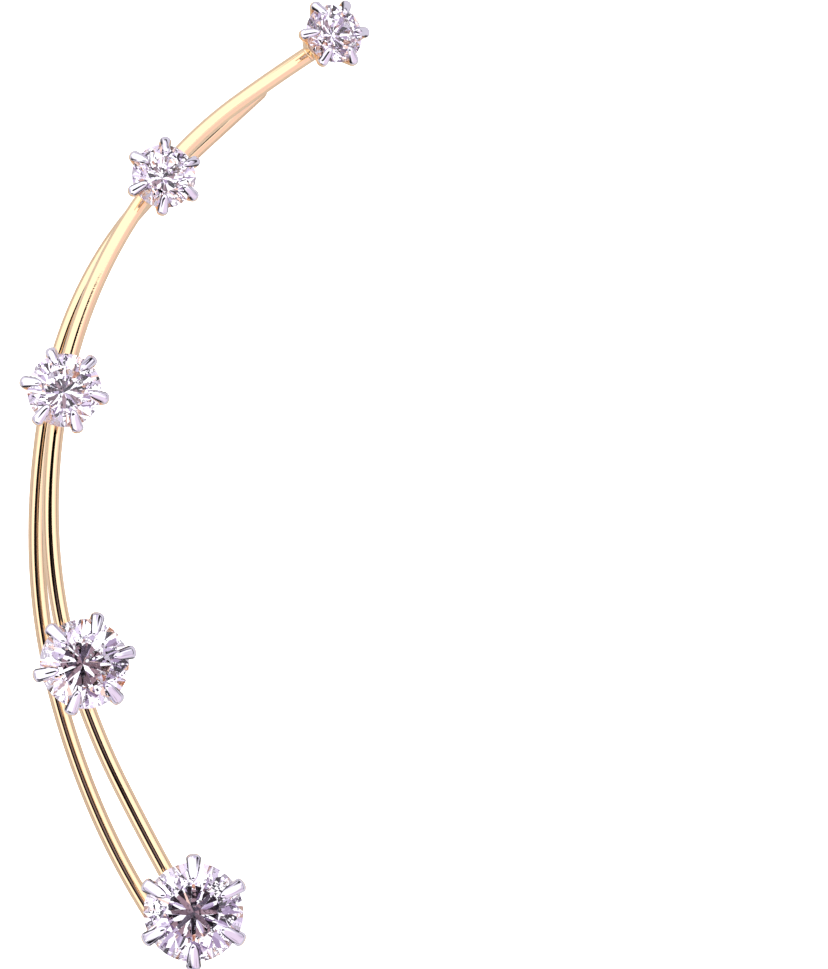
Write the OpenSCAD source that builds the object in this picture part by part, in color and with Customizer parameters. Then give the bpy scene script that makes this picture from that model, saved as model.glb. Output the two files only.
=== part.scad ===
// Ear climber: five graded round stones in six-claw settings on a bent gold wire.
// The wire turns round under the largest stone and runs back as the ear wire, which ends in a
// free rounded tip. The climber lies on its ear wire, stones up. All sizes are in millimetres.

/* [Wire] */
// Diameter of the wire
wire_d = 0.85; // [0.7:0.05:0.9]
// Length of the straight free end of the ear wire, up to its rounded tip
tip_straight = 3.9; // [3:0.1:4.2]
// Length of the rounded tip
tip_round = 0.5; // [0.3:0.1:0.8]

/* [Stones] */
// Width of the table, as a share of the stone's diameter
table_share = 0.57; // [0.54:0.01:0.62]
// Slope of the crown's main facets, in degrees
crown_angle = 34.5; // [33:0.5:36]
// Slope of the pavilion's main facets, in degrees
pavilion_angle = 43.8; // [43:0.2:44.6]
// Greatest thickness of the girdle, as a share of the stone's diameter
girdle_share = 0.028; // [0.024:0.002:0.04]

/* [Settings] */
// Gap between a stone and its claws
stone_gap = 0.04; // [0.03:0.01:0.08]
// Gap between a stone's point and the wire
culet_gap = 0.12; // [0.08:0.02:0.2]
// Wall of the base ring
ring_wall = 0.5; // [0.4:0.05:0.6]
// Height of the base ring
ring_h = 0.6; // [0.5:0.05:0.8]
// Width of a claw on a stone of no size, to which claw_w_gain adds
claw_w_base = 0.2; // [0.15:0.05:0.3]
// Width that a claw gains for each millimetre of the stone's diameter
claw_w_gain = 0.11; // [0.09:0.01:0.12]
// Thickness of a claw
claw_t = 0.33; // [0.28:0.01:0.4]
// Slope of a claw's folded end, in degrees
fold_angle = 41; // [40:0.5:43]
// Distance from the stone's axis to a claw's tip, as a share of the stone's radius
claw_reach = 0.72; // [0.68:0.01:0.8]

/* [Hidden] */

wire_r = wire_d / 2;
// The bent wire is swept in straight steps, slimmer by sweep_slack than the free end that it
// runs into by end_seat
wire_sides = 16;
arc_step = 5;
end_seat = 0.3;
sweep_slack = 0.005;
tip_steps = 5;
tip_sides = 48;

// Main facets of a stone, and the angles that the smaller facets divide them by
mains = 8;
main_step = 360 / mains;
half_step = main_step / 2;
quarter_step = half_step / 2;
// Share of the way from the table to the girdle that the star facets reach, and share of the way
// from the girdle to the point that the lower facets reach
star_share = 0.5;
lower_share = 0.84;

// Middle of the base ring's wall, as a share of the stone's radius, and height of its underside
// above the wire's axis
ring_share = 0.46;
ring_seat = 0.05;
ring_sides = 64;
bore_past = 1;
claws = 6;
claw_sides = 8;
claw_bend_steps = 3;
// Width of a claw's foot, as a share of the claw's width
foot_share = 0.75;
// Stations of a claw's folded end: share of its length, of the width and of the thickness
fold_rows = [[0.5, 0.95, 0.9], [0.85, 0.7, 0.65], [1, 0.3, 0.3]];

// Moves the measured layout so that its box is centred on the origin
layout_shift = [-0.087, 0.02, 0];

// Columns of the table of stones, from the upper end of the climber to the lower one
D = 0;
X = 1;
Y = 2;
WIRE_Z = 3;
LEAN = 4;
LEAN_TO = 5;
CLAW_TURN = 6;
// Stone diameter, x and y of its girdle, height of the wire's axis below it, lean of its axis,
// direction that it leans to, and direction of its first claw
stone_rows = [
  [3.00, 7.05, 22.55, 2.39, 27, 34, 5],
  [3.25, -1.45, 15.40, 4.40, 17, 50, 26.5],
  [3.75, -6.40, 4.70, 5.50, 12, 78, 48.5],
  [4.50, -5.40, -8.95, 5.75, 8, 13.5, 14],
  [5.00, 0.05, -21.35, 5.40, 0, 0, 30]
];

// Places that the wire passes: x, y, height of its axis, heading and rise, both in degrees
front_rows = [
  [6.95, 22.30, 2.25, -147.5, 13.5],
  [-1.85, 15.12, 4.40, -128, 8],
  [-6.60, 4.40, 5.50, -100.5, 3],
  [-6.00, -9.00, 5.75, -73.5, -1],
  [-0.65, -20.60, 5.40, -60.5, 0]
];
ear_rows = [
  [-2.15, -21.45, wire_r, 122.5, 0],
  [-6.86, -10.47, wire_r, 104.5, 0],
  [-7.18, 4.59, wire_r, 79, 0],
  [-1.90, 14.76, wire_r, 45, 0],
  [0.37, 17.04, wire_r, 42.5, 0]
];
wire_rows = concat(front_rows, ear_rows);

function unit(v) = v / norm(v);
function place(row) = [row.x, row.y, row.z];
function heading(row) = row[3];
function rise(row) = row[4];
function way(row) =
  [cos(heading(row)) * cos(rise(row)), sin(heading(row)) * cos(rise(row)), sin(rise(row))];

// Point where two arcs meet that lead smoothly from place p, way t, to place q, way u
function meeting(p, t, q, u) =
  let (v = q - p, s = t + u, k = 2 * (1 - t * u))
  let (reach = (sqrt((v * s) ^ 2 + k * (v * v)) - v * s) / k)
  (p + q + reach * (t - u)) / 2;

// Way in which an arc ends that leaves p along t and ends at q
function way_out(p, t, q) = let (c = unit(q - p)) 2 * (t * c) * c - t;

// Measures of a stone
function r_of(d) = d / 2;
function girdle_half(d) = d * girdle_share / 2;
function crown_h(d) = r_of(d) * (1 - table_share) * tan(crown_angle);
function pavilion_h(d) = r_of(d) * tan(pavilion_angle);
function star_r(d) =
  let (flat = table_share * cos(half_step)) r_of(d) * (flat + star_share * (1 - flat));
function star_z(d) =
  girdle_half(d) + crown_h(d)
  - tan(crown_angle) * (star_r(d) * cos(half_step) - r_of(d) * table_share);
function lower_r(d) = r_of(d) * (1 - lower_share);
function lower_z(d) =
  -girdle_half(d) - pavilion_h(d) + tan(pavilion_angle) * lower_r(d) * cos(half_step);

// The girdle's edge dips between the corners of the facets, because it is round and they are flat
function dip(height, run, d) =
  height / (run * cos(quarter_step)) * r_of(d) * (1 - cos(quarter_step));
function upper_dip(d) = dip(star_z(d) - girdle_half(d), r_of(d) - star_r(d), d);
function lower_dip(d) = dip(-girdle_half(d) - lower_z(d), r_of(d) - lower_r(d), d);

// Measures of a setting, in the stone's frame: origin in the girdle, z along the stone's axis
function wire_drop(d) = girdle_half(d) + pavilion_h(d) + culet_gap + wire_r;
function ring_r(d) = ring_share * r_of(d);
function ring_z(d) = ring_seat - wire_drop(d);
function claw_w(d) = claw_w_base + claw_w_gain * d;

function polar(r, a, z) = [r * cos(a), r * sin(a), z];

module at_stone(row) {
  lift = row[WIRE_Z] + wire_drop(row[D]) * cos(row[LEAN]);
  translate(layout_shift + [row[X], row[Y], lift])
    rotate([0, 0, row[LEAN_TO]])
      rotate([0, row[LEAN], 0])
        rotate([0, 0, -row[LEAN_TO]])
          children();
}

// Round brilliant: a table, eight stars, eight kites, sixteen upper facets, a scalloped girdle,
// sixteen lower facets and eight pavilion mains
module brilliant(d) {
  r = r_of(d);
  g = girdle_half(d);
  rim = 4 * mains;
  last = mains - 1;
  points = concat(
    [for (k = [0:last]) polar(r * table_share, k * main_step, g + crown_h(d))],
    [for (k = [0:last]) polar(star_r(d), (k + 0.5) * main_step, star_z(d))],
    [for (j = [0:rim - 1]) polar(r, j * quarter_step, g - (j % 2) * upper_dip(d))],
    [for (j = [0:rim - 1]) polar(r, j * quarter_step, (j % 2) * lower_dip(d) - g)],
    [for (k = [0:last]) polar(lower_r(d), (k + 0.5) * main_step, lower_z(d))],
    [[0, 0, -g - pavilion_h(d)]]
  );
  star = mains;
  upper = 2 * mains;
  under = upper + rim;
  low = under + rim;
  point = low + mains;
  function t(k) = k % mains;
  function s(k) = star + (k + mains) % mains;
  function u(j) = upper + (j + rim) % rim;
  function b(j) = under + (j + rim) % rim;
  function l(k) = low + (k + mains) % mains;
  faces = concat(
    [[for (k = [last:-1:0]) t(k)]],
    [for (k = [0:last]) [t(k), t(k + 1), s(k)]],
    [for (k = [0:last]) [t(k), s(k), u(4 * k), s(k - 1)]],
    [for (k = [0:last]) [s(k), u(4 * k + 2), u(4 * k + 1), u(4 * k)]],
    [for (k = [0:last]) [s(k), u(4 * k + 4), u(4 * k + 3), u(4 * k + 2)]],
    [for (j = [0:rim - 1]) [u(j), u(j + 1), b(j + 1), b(j)]],
    [for (k = [0:last]) [l(k), b(4 * k), b(4 * k + 1), b(4 * k + 2)]],
    [for (k = [0:last]) [l(k), b(4 * k + 2), b(4 * k + 3), b(4 * k + 4)]],
    [for (k = [0:last]) [point, l(k - 1), b(4 * k), l(k)]]
  );
  polyhedron(points, faces);
}

// Stations along the arc that leaves p along t and ends at q: a place and the way there
function arc_stations(p, t, q) =
  let (
    chord = unit(q - p),
    turn = 2 * acos(t * chord),
    radius = norm(q - p) / (2 * sin(turn / 2)),
    inward = unit(chord - (chord * t) * t),
    steps = ceil(turn / arc_step)
  )
  [for (i = [0:steps - 1])
    let (a = turn * i / steps)
    [p + radius * (sin(a) * t + (1 - cos(a)) * inward), cos(a) * t + sin(a) * inward]];

// Stations from the wire's upper end, round the bend at the bottom, to the free end's foot
function wire_stations() =
  let (last = wire_rows[len(wire_rows) - 1], end_way = way(last))
  concat(
    [for (i = [0:len(wire_rows) - 2])
      let (
        p = place(wire_rows[i]),
        q = place(wire_rows[i + 1]),
        t = way(wire_rows[i]),
        m = meeting(p, t, q, way(wire_rows[i + 1]))
      )
      each concat(arc_stations(p, t, m), arc_stations(m, way_out(p, t, m), q))],
    [[place(last), end_way], [place(last) + end_seat * end_way, end_way]]
  );

// The wire as one swept solid, its sides kept from twisting along the way
module bent_wire() {
  swept_r = wire_r - sweep_slack;
  stations = wire_stations();
  count = len(stations);
  sides = [for (
    i = 0, n = unit(cross(stations[0][1], [0, 0, 1]));
    i < count;
    i = i + 1, n = i < count ? unit(n - (n * stations[i][1]) * stations[i][1]) : n
  ) n];
  points = [for (i = [0:count - 1], j = [0:wire_sides - 1])
    let (a = j * 360 / wire_sides, n = sides[i])
    stations[i][0] + swept_r * (cos(a) * n + sin(a) * cross(stations[i][1], n))];
  function at(i, j) = i * wire_sides + j % wire_sides;
  faces = concat(
    [[for (j = [0:wire_sides - 1]) at(0, j)]],
    [[for (j = [wire_sides - 1:-1:0]) at(count - 1, j)]],
    [for (i = [0:count - 2], j = [0:wire_sides - 1])
      [at(i, j), at(i + 1, j), at(i + 1, j + 1)]],
    [for (i = [0:count - 2], j = [0:wire_sides - 1])
      [at(i, j), at(i + 1, j + 1), at(i, j + 1)]]
  );
  polyhedron(points, faces);
}

// The straight free end, which passes through the ear, with its rounded tip
module free_end() {
  foot = ear_rows[len(ear_rows) - 1];
  outline = concat(
    [[0, 0], [wire_r, 0]],
    [for (i = [0:tip_steps])
      let (a = 90 * i / tip_steps)
      [wire_r * cos(a), tip_straight + tip_round * sin(a)]]
  );
  translate(place(foot))
    rotate([0, 90, heading(foot)])
      rotate_extrude($fn = tip_sides)
        polygon(outline);
}

// One claw, standing in the plane y = 0: it rises from the base ring, bends round the girdle and
// folds down over the crown, growing narrower to its tip. Its sections are flat ovals, each with
// a centre [radial place, height], the direction that it faces outward, and its half measures.
module claw(d) {
  r = r_of(d);
  half_t = claw_t / 2;
  half_w = claw_w(d) / 2;
  clear = stone_gap + girdle_half(d);
  bend_r = clear + half_t;
  foot = [ring_r(d), ring_z(d) + ring_h / 2];
  to_girdle = [r, 0] - foot;
  climb = atan2(to_girdle.y, to_girdle.x) - asin(bend_r / norm(to_girdle));
  bend_from = climb - 90;
  bend_to = 90 - fold_angle;
  fold_way = [-sin(bend_to), cos(bend_to)];
  fold_out = [cos(bend_to), sin(bend_to)];
  fold_l = (r + bend_r * fold_out.x - claw_reach * r) / -fold_way.x;
  bend = [for (i = [0:claw_bend_steps])
    let (a = bend_from + (bend_to - bend_from) * i / claw_bend_steps)
    [[r + bend_r * cos(a), bend_r * sin(a)], a, half_w, half_t]];
  fold = [for (share = fold_rows)
    let (along = share.x * fold_l, w = share.y * half_w, t = share.z * half_t)
    [[r, 0] + (clear + t) * fold_out + along * fold_way, bend_to, w, t]];
  sections = concat([[foot, bend_from, foot_share * half_w, half_t]], bend, fold);
  corner = 180 / claw_sides;
  function ring_of(centre, facing, w, t) = [for (j = [0:claw_sides - 1])
    let (a = (2 * j + 1) * corner, out = t * cos(a) / cos(corner))
    [centre.x + out * cos(facing), w * sin(a) / cos(corner), centre.y + out * sin(facing)]];
  points = [for (s = sections) each ring_of(s[0], s[1], s[2], s[3])];
  last = len(sections) - 1;
  function at(i, j) = i * claw_sides + j % claw_sides;
  faces = concat(
    [[for (j = [0:claw_sides - 1]) at(0, j)]],
    [[for (j = [claw_sides - 1:-1:0]) at(last, j)]],
    [for (i = [0:last - 1], j = [0:claw_sides - 1]) [at(i, j), at(i + 1, j), at(i + 1, j + 1)]],
    [for (i = [0:last - 1], j = [0:claw_sides - 1]) [at(i, j), at(i + 1, j + 1), at(i, j + 1)]]
  );
  polyhedron(points, faces);
}

// Base ring and six claws of one stone
module setting(row) {
  d = row[D];
  at_stone(row) {
    translate([0, 0, ring_z(d)])
      difference() {
        cylinder(h = ring_h, r = ring_r(d) + ring_wall / 2, $fn = ring_sides);
        translate([0, 0, -bore_past])
          cylinder(
            h = ring_h + 2 * bore_past,
            r = ring_r(d) - ring_wall / 2,
            $fn = ring_sides
          );
      }
    for (k = [0:claws - 1])
      rotate([0, 0, row[CLAW_TURN] + k * 360 / claws])
        claw(d);
  }
}

module climber_frame() {
  color([0.93, 0.76, 0.45])
    union() {
      translate(layout_shift) {
        bent_wire();
        free_end();
      }
      for (row = stone_rows)
        setting(row);
    }
}

module stone(i) {
  color([0.86, 0.84, 0.92])
    at_stone(stone_rows[i])
      brilliant(stone_rows[i][D]);
}

module stone_1() {
  stone(0);
}

module stone_2() {
  stone(1);
}

module stone_3() {
  stone(2);
}

module stone_4() {
  stone(3);
}

module stone_5() {
  stone(4);
}

climber_frame();
stone_1();
stone_2();
stone_3();
stone_4();
stone_5();
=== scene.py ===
# %% [markdown]
# # An ear climber with five graded stones
# The real jewel is one polished gold wire. Its front part carries five round clear stones in
# six-claw settings, and at the largest stone it turns back on itself as the ear wire. The
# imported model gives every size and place. This lesson dresses it: it makes the metal again
# with smoother forms, keeps the cut stones, and gives each its finish.

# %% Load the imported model
import math

import bpy
from mathutils import Matrix, Vector


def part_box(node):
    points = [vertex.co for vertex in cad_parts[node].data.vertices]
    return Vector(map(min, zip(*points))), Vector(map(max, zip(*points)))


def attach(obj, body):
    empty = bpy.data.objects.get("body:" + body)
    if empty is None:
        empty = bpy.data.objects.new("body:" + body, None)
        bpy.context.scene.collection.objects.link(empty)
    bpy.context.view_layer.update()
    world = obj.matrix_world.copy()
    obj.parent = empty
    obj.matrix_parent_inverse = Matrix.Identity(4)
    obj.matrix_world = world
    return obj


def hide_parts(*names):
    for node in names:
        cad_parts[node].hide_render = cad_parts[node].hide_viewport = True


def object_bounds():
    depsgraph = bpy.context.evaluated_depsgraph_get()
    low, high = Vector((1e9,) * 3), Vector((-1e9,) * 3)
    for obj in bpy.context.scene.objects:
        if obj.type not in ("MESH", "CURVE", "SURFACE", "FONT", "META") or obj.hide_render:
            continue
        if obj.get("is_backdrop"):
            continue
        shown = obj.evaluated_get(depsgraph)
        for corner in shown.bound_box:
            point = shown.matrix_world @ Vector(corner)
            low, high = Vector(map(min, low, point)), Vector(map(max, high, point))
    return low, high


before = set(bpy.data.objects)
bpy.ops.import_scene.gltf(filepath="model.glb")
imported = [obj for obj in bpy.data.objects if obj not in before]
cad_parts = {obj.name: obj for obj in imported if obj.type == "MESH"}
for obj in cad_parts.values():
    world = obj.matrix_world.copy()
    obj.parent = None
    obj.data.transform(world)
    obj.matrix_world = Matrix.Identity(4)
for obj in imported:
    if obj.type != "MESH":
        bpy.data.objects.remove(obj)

cad_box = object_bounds()
print("nodes:", sorted(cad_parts))

# %% [markdown]
# ## One unit and two small helpers
# A jewel is drawn in millimetres, but Blender works in metres. Every form below is made in
# millimetres and scaled once, when it becomes a piece. Nodes can be clicked together in the
# editor or made by a script. A helper that makes a node and fills its sockets in one line
# keeps the scripted trees short enough to read.

# %% Work in millimetres
MM = 0.001


def add(tree, kind, values=None, **settings):
    """Adds a node to a tree. Each value is a number, or the output that feeds the socket."""
    made = tree.nodes.new(kind)
    for name, setting in settings.items():
        setattr(made, name, setting)
    for socket, value in (values or {}).items():
        if isinstance(value, bpy.types.NodeSocket):
            tree.links.new(value, made.inputs[socket])
        else:
            made.inputs[socket].default_value = value
    return made


def calc(tree, operation, *values):
    """Adds a Math node and returns its result."""
    math_node = "ShaderNodeMath"
    return add(tree, math_node, dict(enumerate(values)), operation=operation).outputs[0]


def piece_from(mesh, name, matrix=Matrix.Identity(4)):
    """Makes a mesh in millimetres a piece in metres, with its object at the origin."""
    mesh.transform(Matrix.Scale(MM, 4) @ matrix)
    mesh.name = name
    piece = bpy.data.objects.new(name, mesh)
    bpy.context.scene.collection.objects.link(piece)
    print(f"{name}: {len(mesh.polygons)} faces")
    return piece


# %% [markdown]
# ## The camera
# The jewel lies on its ear wire with the stones up, and is looked at from straight above. A
# close camera would make the raised front wire look thicker than the ear wire on the floor.
# A long lens from 1.8 m away keeps both at the same scale, as a catalogue picture does.

# %% Look straight down through a long lens
IMAGE_WIDTH, IMAGE_HEIGHT = 828, 969
PIXELS_PER_MM = 20.0
LOOK_AT = Vector((10.963, 0.02, 5.0))
CAMERA_DISTANCE = 1800.0
SENSOR_WIDTH = 36.0
# Nearest and farthest place that the camera sees, in metres
CLIP_NEAR, CLIP_FAR = 0.1, 10.0

lens = bpy.data.cameras.new("long_lens")
lens.sensor_width = SENSOR_WIDTH
view_height = IMAGE_HEIGHT / PIXELS_PER_MM
lens.lens = SENSOR_WIDTH * CAMERA_DISTANCE / view_height
lens.clip_start, lens.clip_end = CLIP_NEAR, CLIP_FAR
camera = bpy.data.objects.new("camera", lens)
camera.location = (LOOK_AT + Vector((0, 0, CAMERA_DISTANCE))) * MM
bpy.context.scene.collection.objects.link(camera)
bpy.context.scene.camera = camera
print(f"lens {lens.lens:.0f} mm, view {view_height:.1f} mm high")

# %% [markdown]
# ## The light
# Polished metal shows no shading of its own. It shows what stands round it, so the room is
# designed and the lamps come second. In a white tent everything that the wire mirrors is
# white, except the camera and the long dark hood round it, overhead. Round a wire that hood
# shrinks to one dark line, and the line stops where the hood is cut off. The tent's low wall
# is dimmer and stands on a dark gap, which draws a warm band and a thin outline along each
# side of the wire. Two of its sides carry panels and dark posts. The wires run past them and
# don't mirror them, but the claws do and show them as streaks. The tent is open to the upper
# left and the lower right, and the lower right side is rosy. A world shader can paint such a
# room by direction alone. The camera itself sees plain white past the card's end.
#
# ## What a cut stone gathers
# A brilliant folds the whole room into its facets, in pieces too small to place by hand. So
# rays that have passed a stone see a simpler set: a lens of dark and rose cells overhead, and
# bright, lilac, peach and dark cells all round. Each facet then shows a few plain tones with
# hard borders, as cut stones do in a catalogue picture. Thin slits along the borders, broken
# here and there, give it the sharp black strokes.

# %% Paint a white tent with a dark hood overhead
# A pair of limits is where a soft step begins and where it ends
BRIGHT = (1.0, 1.0, 1.0, 1.0)
TENT_WHITE = (0.985, 0.985, 0.97, 1.0)
TENT_STRENGTH = 1.5
# Least height of a direction, which keeps the ones near the horizon finite
LEAST_HEIGHT = 0.001
# Middle and half sides of the hood, for a hood at a height of 1
HOOD_MIDDLE = (-0.18, -0.10)
HOOD_HALF = (0.75, 0.27)
HOOD_TURN = math.radians(16.5)
HOOD_CORNERS = 4
HOOD_RIM = (0.96, 1.06)
HOOD_CUT = (0.176, 0.184)
HOOD_CUT_TURN = math.radians(66)
# The hood is rose in its middle and nearly black towards its rim
HOOD_CORE = (0.08, 0.40)
HOOD_ROSE = (0.17, 0.14, 0.19, 1.0)
HOOD_EDGE = (0.002, 0.001, 0.001, 1.0)
# The lens, which only the stones see
LENS_MIDDLE = (0.10, 0.0)
LENS_HALF = (0.45, 0.26)
LENS_RIM = (0.93, 1.06)
# What a stone gathers from the set: from each share of its cells on, this colour
CELL_SCALE = 7.0
CELL_TONES = [
    (0.0, (0.006, 0.005, 0.008, 1.0)), (0.06, (0.14, 0.09, 0.17, 1.0)),
    (0.10, (0.28, 0.21, 0.33, 1.0)), (0.15, (0.44, 0.37, 0.50, 1.0)),
    (0.27, (0.64, 0.57, 0.69, 1.0)), (0.49, (0.80, 0.56, 0.45, 1.0)),
    (0.52, (1.0, 1.0, 1.0, 1.0)),
]
LENS_CELL_SCALE = 13.0
LENS_TONES = [
    (0.0, (0.006, 0.005, 0.006, 1.0)), (0.30, (0.062, 0.048, 0.066, 1.0)),
    (0.55, (0.13, 0.085, 0.098, 1.0)), (0.80, (0.26, 0.17, 0.19, 1.0)),
]
# Dark slits along the cells' borders: their half width in cells, and where they are broken
SLIT_HALF = (0.035, 0.05)
SLIT_BREAKS = (0.46, 0.50)
SLIT_DARK = (0.006, 0.005, 0.008, 1.0)
# The low wall, and the line along which it is open both ways
WALL_SHADE = (0.58, 0.54, 0.60, 1.0)
WALL_TOP = (0.28, 0.46)
OPEN_WAY = Vector((-0.766, 0.643, 0.0))
OPEN_HALF = (0.78, 0.94)
# Panels and posts of the low wall, in tones listed as for the cells. They stand far along
# the jewel's length, where no wire mirrors them
PANEL_SCALE = 2.6
PANEL_TONES = [
    (0.0, (0.015, 0.012, 0.016, 1.0)), (0.24, (0.52, 0.47, 0.58, 1.0)),
    (0.58, (1.0, 1.0, 1.0, 1.0)),
]
PANELS_FROM = (0.45, 0.6)
# The dark gap below the wall
GAP_TOP = (0.06, 0.10)
GAP_DARK = (0.03, 0.025, 0.03, 1.0)
ROSY_SHADE = (0.70, 0.61, 0.68, 1.0)
ROSY_WAY = Vector((0.656, -0.656, 0.375)).normalized()
ROSY_FROM = (0.66, 0.84)


def soft_step(tree, value, low, high):
    """0 below low, 1 above high, and a soft rise between them."""
    return add(tree, "ShaderNodeMapRange", {
        "Value": value, "From Min": low, "From Max": high,
    }, interpolation_type="SMOOTHSTEP").outputs["Result"]


def mixed(tree, share, first, second, blend="MIX"):
    """The colour between two others, or their product."""
    return add(tree, "ShaderNodeMix", {0: share, 6: first, 7: second},
               data_type="RGBA", blend_type=blend).outputs[2]


def facing(tree, way, aim, low, high):
    """1 where a direction is near the aim."""
    near = add(tree, "ShaderNodeVectorMath", {0: way, 1: aim}, operation="DOT_PRODUCT")
    return soft_step(tree, near.outputs["Value"], low, high)


def flat_reach(tree, across, along, middle, half, turn, corners):
    """0 in the middle of an oval card overhead and 1 at its rim. More corners, squarer."""
    x = calc(tree, "SUBTRACT", across, middle[0])
    y = calc(tree, "SUBTRACT", along, middle[1])
    cos, sin = math.cos(turn), math.sin(turn)
    sides = []
    for a, b, size in ((cos, sin, half[0]), (-sin, cos, half[1])):
        side = calc(tree, "MULTIPLY_ADD", x, a / size, calc(tree, "MULTIPLY", y, b / size))
        sides.append(calc(tree, "POWER", calc(tree, "ABSOLUTE", side), corners))
    return calc(tree, "POWER", calc(tree, "ADD", *sides), 1 / corners)


def below(tree, value, low, high):
    """1 below low, 0 above high, and a soft fall between them."""
    return calc(tree, "SUBTRACT", 1.0, soft_step(tree, value, low, high))


def toned_cells(tree, way, scale, tones):
    """Cells with hard borders, each with a tone picked from the list."""
    cells = add(tree, "ShaderNodeTexVoronoi", {"Vector": way, "Scale": scale})
    pick = add(tree, "ShaderNodeSeparateColor", {0: cells.outputs["Color"]}).outputs[0]
    ramp = add(tree, "ShaderNodeValToRGB", {0: pick})
    ramp.color_ramp.interpolation = "CONSTANT"
    stops = ramp.color_ramp.elements
    for i, (place, colour) in enumerate(tones):
        stop = stops[i] if i < len(stops) else stops.new(place)
        stop.position, stop.color = place, colour
    return ramp.outputs[0]


def set_for_metal(tree, way, height, across, along):
    """The tent with its dim low wall, its rosy side, its long hood and a dark gap below."""
    to_open = add(tree, "ShaderNodeVectorMath", {0: way, 1: OPEN_WAY}, operation="DOT_PRODUCT")
    closed = below(tree, calc(tree, "ABSOLUTE", to_open.outputs["Value"]), *OPEN_HALF)
    low = calc(tree, "MULTIPLY", below(tree, height, *WALL_TOP), closed)
    gap = calc(tree, "MULTIPLY", below(tree, height, *GAP_TOP), closed)
    flat = add(tree, "ShaderNodeVectorMath", {0: way, 1: (1, 1, 0)}, operation="MULTIPLY")
    level = add(tree, "ShaderNodeVectorMath", {0: flat.outputs[0]}, operation="NORMALIZE")
    lengthwise = add(tree, "ShaderNodeSeparateXYZ", {0: level.outputs[0]}).outputs["Y"]
    sideways = calc(tree, "ABSOLUTE", lengthwise)
    panels = toned_cells(tree, level.outputs[0], PANEL_SCALE, PANEL_TONES)
    shade = mixed(tree, soft_step(tree, sideways, *PANELS_FROM), WALL_SHADE, panels)
    wall = mixed(tree, low, BRIGHT, shade)
    rosy = mixed(tree, facing(tree, way, ROSY_WAY, *ROSY_FROM), BRIGHT, ROSY_SHADE)
    tent = mixed(tree, 1.0, mixed(tree, 1.0, TENT_WHITE, wall, "MULTIPLY"), rosy, "MULTIPLY")
    reach = flat_reach(tree, across, along, HOOD_MIDDLE, HOOD_HALF, HOOD_TURN, HOOD_CORNERS)
    slant = calc(tree, "MULTIPLY_ADD", across, math.cos(HOOD_CUT_TURN),
                 calc(tree, "MULTIPLY", along, math.sin(HOOD_CUT_TURN)))
    inside = calc(tree, "MULTIPLY",
                  below(tree, reach, *HOOD_RIM), below(tree, slant, *HOOD_CUT))
    hood = mixed(tree, below(tree, reach, *HOOD_CORE), HOOD_EDGE, HOOD_ROSE)
    return mixed(tree, gap, mixed(tree, inside, tent, hood), GAP_DARK)


def set_for_stones(tree, way, across, along):
    """The lens overhead, and bright, lilac and dark cells all round it."""
    reach = flat_reach(tree, across, along, LENS_MIDDLE, LENS_HALF, turn=0.0, corners=2)
    border = add(tree, "ShaderNodeTexVoronoi", {"Vector": way, "Scale": CELL_SCALE},
                 feature="DISTANCE_TO_EDGE").outputs["Distance"]
    broken = add(tree, "ShaderNodeTexNoise", {"Vector": way, "Scale": CELL_SCALE})
    slit = calc(tree, "MULTIPLY", below(tree, border, *SLIT_HALF),
                soft_step(tree, broken.outputs["Fac"], *SLIT_BREAKS))
    cells = mixed(tree, slit, toned_cells(tree, way, CELL_SCALE, CELL_TONES), SLIT_DARK)
    return mixed(tree, below(tree, reach, *LENS_RIM), cells,
                 toned_cells(tree, way, LENS_CELL_SCALE, LENS_TONES))


def tent_world():
    """A world that shows each kind of ray its own set."""
    world = bpy.data.worlds.new("white_tent")
    world.use_nodes = True
    tree = world.node_tree
    tree.nodes.clear()
    way = add(tree, "ShaderNodeTexCoord").outputs["Generated"]
    part = add(tree, "ShaderNodeSeparateXYZ", {0: way}).outputs
    height = calc(tree, "MAXIMUM", part["Z"], LEAST_HEIGHT)
    across = calc(tree, "DIVIDE", part["X"], height)
    along = calc(tree, "DIVIDE", part["Y"], height)
    ray = add(tree, "ShaderNodeLightPath").outputs
    through_stone = calc(tree, "GREATER_THAN", ray["Transmission Depth"], 0.5)
    room = mixed(tree, through_stone,
                 set_for_metal(tree, way, height, across, along),
                 set_for_stones(tree, way, across, along))
    room = mixed(tree, ray["Is Camera Ray"], room, BRIGHT)
    light = add(tree, "ShaderNodeBackground", {"Color": room, "Strength": TENT_STRENGTH})
    out = add(tree, "ShaderNodeOutputWorld", {"Surface": light.outputs[0]})
    print(f"{out.name} lights the scene at {TENT_STRENGTH}")
    return world


bpy.context.scene.world = tent_world()

# %% [markdown]
# ## The floor and one soft lamp
# The floor is pale card. It also lights the underside of the wires, which show it as a warm
# band along each edge. A catalogue picture bleaches its background, and the card does the
# same: it is whiter to the camera than it is to the metal that mirrors it. One large lamp to
# the upper left brightens the card and the stones. The metal doesn't mirror it, because a
# square lamp would draw a hard white band along every wire.

# %% Lay the card and hang the lamp
CARD_SIDE = 1200.0
CARD_GREY = (0.66, 0.66, 0.68, 1.0)
CARD_WHITE = (0.99, 0.99, 0.99, 1.0)
CARD_BLEACH = 0.8
CARD_ROUGH = (0.75, 0.95)
CARD_GLOSS = 0.2
# Noise scale of the paper's fibres, in cells per metre
CARD_FIBRES = 900.0
LAMP_PLACE = Vector((-500.0, 600.0, 700.0))
LAMP_SIDE = 500.0
LAMP_WATTS = 1.3


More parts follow.
